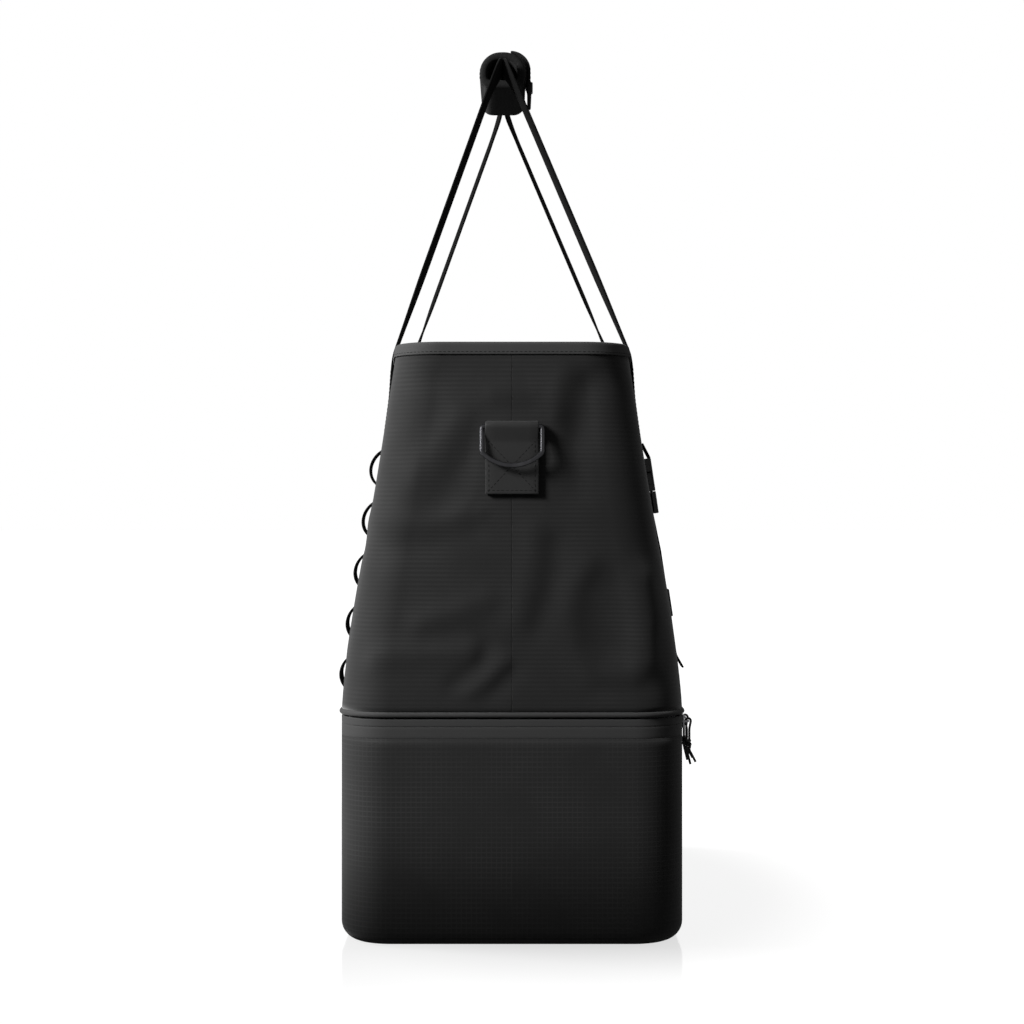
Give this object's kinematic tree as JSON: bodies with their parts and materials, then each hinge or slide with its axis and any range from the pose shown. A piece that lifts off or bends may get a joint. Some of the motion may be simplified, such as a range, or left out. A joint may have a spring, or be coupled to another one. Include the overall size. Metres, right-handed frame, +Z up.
{
  "type": "two-compartment tote",
  "caption": "Soft tote with an open tapered top over a firm insulated compartment that zips shut, webbing handles in a padded grip, end D-rings, webbing loops and compression straps.",
  "frame": {"origin": "middle of the base, on the floor", "axes": "+Z up, +X along the bag's length, -Y towards its front"},
  "size_m": [0.4692, 0.2663, 0.6818],
  "materials": {
    "shell_cloth": "coated ripstop, near black",
    "panel_cloth": "finely ribbed woven cloth, near black",
    "zip_tape": "smooth coated tape, charcoal",
    "webbing": "woven webbing, black",
    "foam": "closed-cell foam, dark grey",
    "liner": "coated wipe-clean liner, grey",
    "board": "stiff sheet, black",
    "moulded_plastic": "moulded acetal, satin black",
    "black_metal": "blackened steel, satin",
    "cord": "braided cord, black"
  },
  "bodies": {
    "lower_compartment": {"lower_shell": "shell_cloth", "lower_insulation": "foam", "lower_liner": "liner", "base_board": "board", "zip_tape_lower": "zip_tape", "back_hinge": "zip_tape"},
    "upper_tote": {"front_panel": "panel_cloth", "back_panel": "panel_cloth", "tote_floor": "panel_cloth", "grip_wrap": "panel_cloth", "zip_tape_upper": "zip_tape", "seam_piping": "zip_tape", "rim_binding": "zip_tape", "front_handle": "webbing", "back_handle": "webbing", "left_ring_tab": "webbing", "right_ring_tab": "webbing", "daisy_chain_left": "webbing", "daisy_chain_right": "webbing", "buckle_anchor_left": "webbing", "buckle_anchor_right": "webbing", "strap_webbing_left": "webbing", "strap_webbing_right": "webbing", "lid_foam": "foam", "lid_liner": "liner", "buckle_socket_left": "moulded_plastic", "buckle_socket_right": "moulded_plastic", "buckle_plug_left": "moulded_plastic", "buckle_plug_right": "moulded_plastic", "snap_stud": "black_metal"},
    "left_ring": {"left_ring": "black_metal"},
    "right_ring": {"right_ring": "black_metal"},
    "left_slider": {"zip_slider_left": "black_metal"},
    "right_slider": {"zip_slider_right": "black_metal"},
    "left_pull": {"zip_pull_left": "cord"},
    "right_pull": {"zip_pull_right": "cord"},
    "grip_flap": {"grip_flap": "panel_cloth", "snap_cap": "black_metal"},
    "left_keeper": {"strap_keeper_left": "moulded_plastic"},
    "right_keeper": {"strap_keeper_right": "moulded_plastic"},
    "left_outer_prong": {"prong_outer_left": "moulded_plastic"},
    "left_inner_prong": {"prong_inner_left": "moulded_plastic"},
    "right_outer_prong": {"prong_outer_right": "moulded_plastic"},
    "right_inner_prong": {"prong_inner_right": "moulded_plastic"}
  },
  "joints": [
    {"name": "tote_tilt", "type": "hinge", "parent": "lower_compartment", "child": "upper_tote", "pos_m": [0, 0.125, 0.158], "axis": [-1, 0, 0], "range_deg": [0, 95], "deforming": ["back_hinge"]},
    {"name": "left_ring_swing", "type": "hinge", "parent": "upper_tote", "child": "left_ring", "pos_m": [-0.22692, 0, 0.3729], "axis": [0, 1, 0], "range_deg": [0, 155]},
    {"name": "right_ring_swing", "type": "hinge", "parent": "upper_tote", "child": "right_ring", "pos_m": [0.22692, 0, 0.3729], "axis": [0, -1, 0], "range_deg": [0, 155]},
    {"name": "left_slider_turn", "type": "hinge", "parent": "lower_compartment", "child": "left_slider", "pos_m": [-0.173, -0.083, 0.158], "axis": [0, 0, -1], "range_deg": [0, 90]},
    {"name": "right_slider_run", "type": "slide", "parent": "lower_compartment", "child": "right_slider", "axis": [1, 0, 0], "range_m": [0, 0.315]},
    {"name": "left_pull_swing", "type": "hinge", "parent": "left_slider", "child": "left_pull", "pos_m": [-0.173, -0.12982, 0.158], "axis": [-1, 0, 0], "range_deg": [0, 150]},
    {"name": "right_pull_swing", "type": "hinge", "parent": "right_slider", "child": "right_pull", "pos_m": [-0.148, -0.12982, 0.158], "axis": [-1, 0, 0], "range_deg": [0, 150]},
    {"name": "grip_flap_open", "type": "hinge", "parent": "upper_tote", "child": "grip_flap", "pos_m": [0, 0.00115, 0.68185], "axis": [-1, 0, 0], "range_deg": [0, 120]},
    {"name": "left_keeper_slide", "type": "slide", "parent": "upper_tote", "child": "left_keeper", "axis": [0, 0.1501, 0.9887], "range_m": [-0.03, 0.03]},
    {"name": "right_keeper_slide", "type": "slide", "parent": "upper_tote", "child": "right_keeper", "axis": [0, 0.1501, 0.9887], "range_m": [-0.03, 0.03]},
    {"name": "left_outer_press", "type": "hinge", "parent": "upper_tote", "child": "left_outer_prong", "pos_m": [-0.11, -0.10386, 0.3275], "axis": [0, 0.9891, -0.1469], "range_deg": [0, 9], "stiffness_Nm_per_rad": 0.1},
    {"name": "left_inner_press", "type": "hinge", "parent": "upper_tote", "child": "left_inner_prong", "pos_m": [-0.09, -0.10386, 0.3275], "axis": [0, -0.9891, 0.1469], "range_deg": [0, 9], "stiffness_Nm_per_rad": 0.1},
    {"name": "right_outer_press", "type": "hinge", "parent": "upper_tote", "child": "right_outer_prong", "pos_m": [0.11, -0.10386, 0.3275], "axis": [0, -0.9891, 0.1469], "range_deg": [0, 9], "stiffness_Nm_per_rad": 0.1},
    {"name": "right_inner_press", "type": "hinge", "parent": "upper_tote", "child": "right_inner_prong", "pos_m": [0.09, -0.10386, 0.3275], "axis": [0, 0.9891, -0.1469], "range_deg": [0, 9], "stiffness_Nm_per_rad": 0.1}
  ]
}
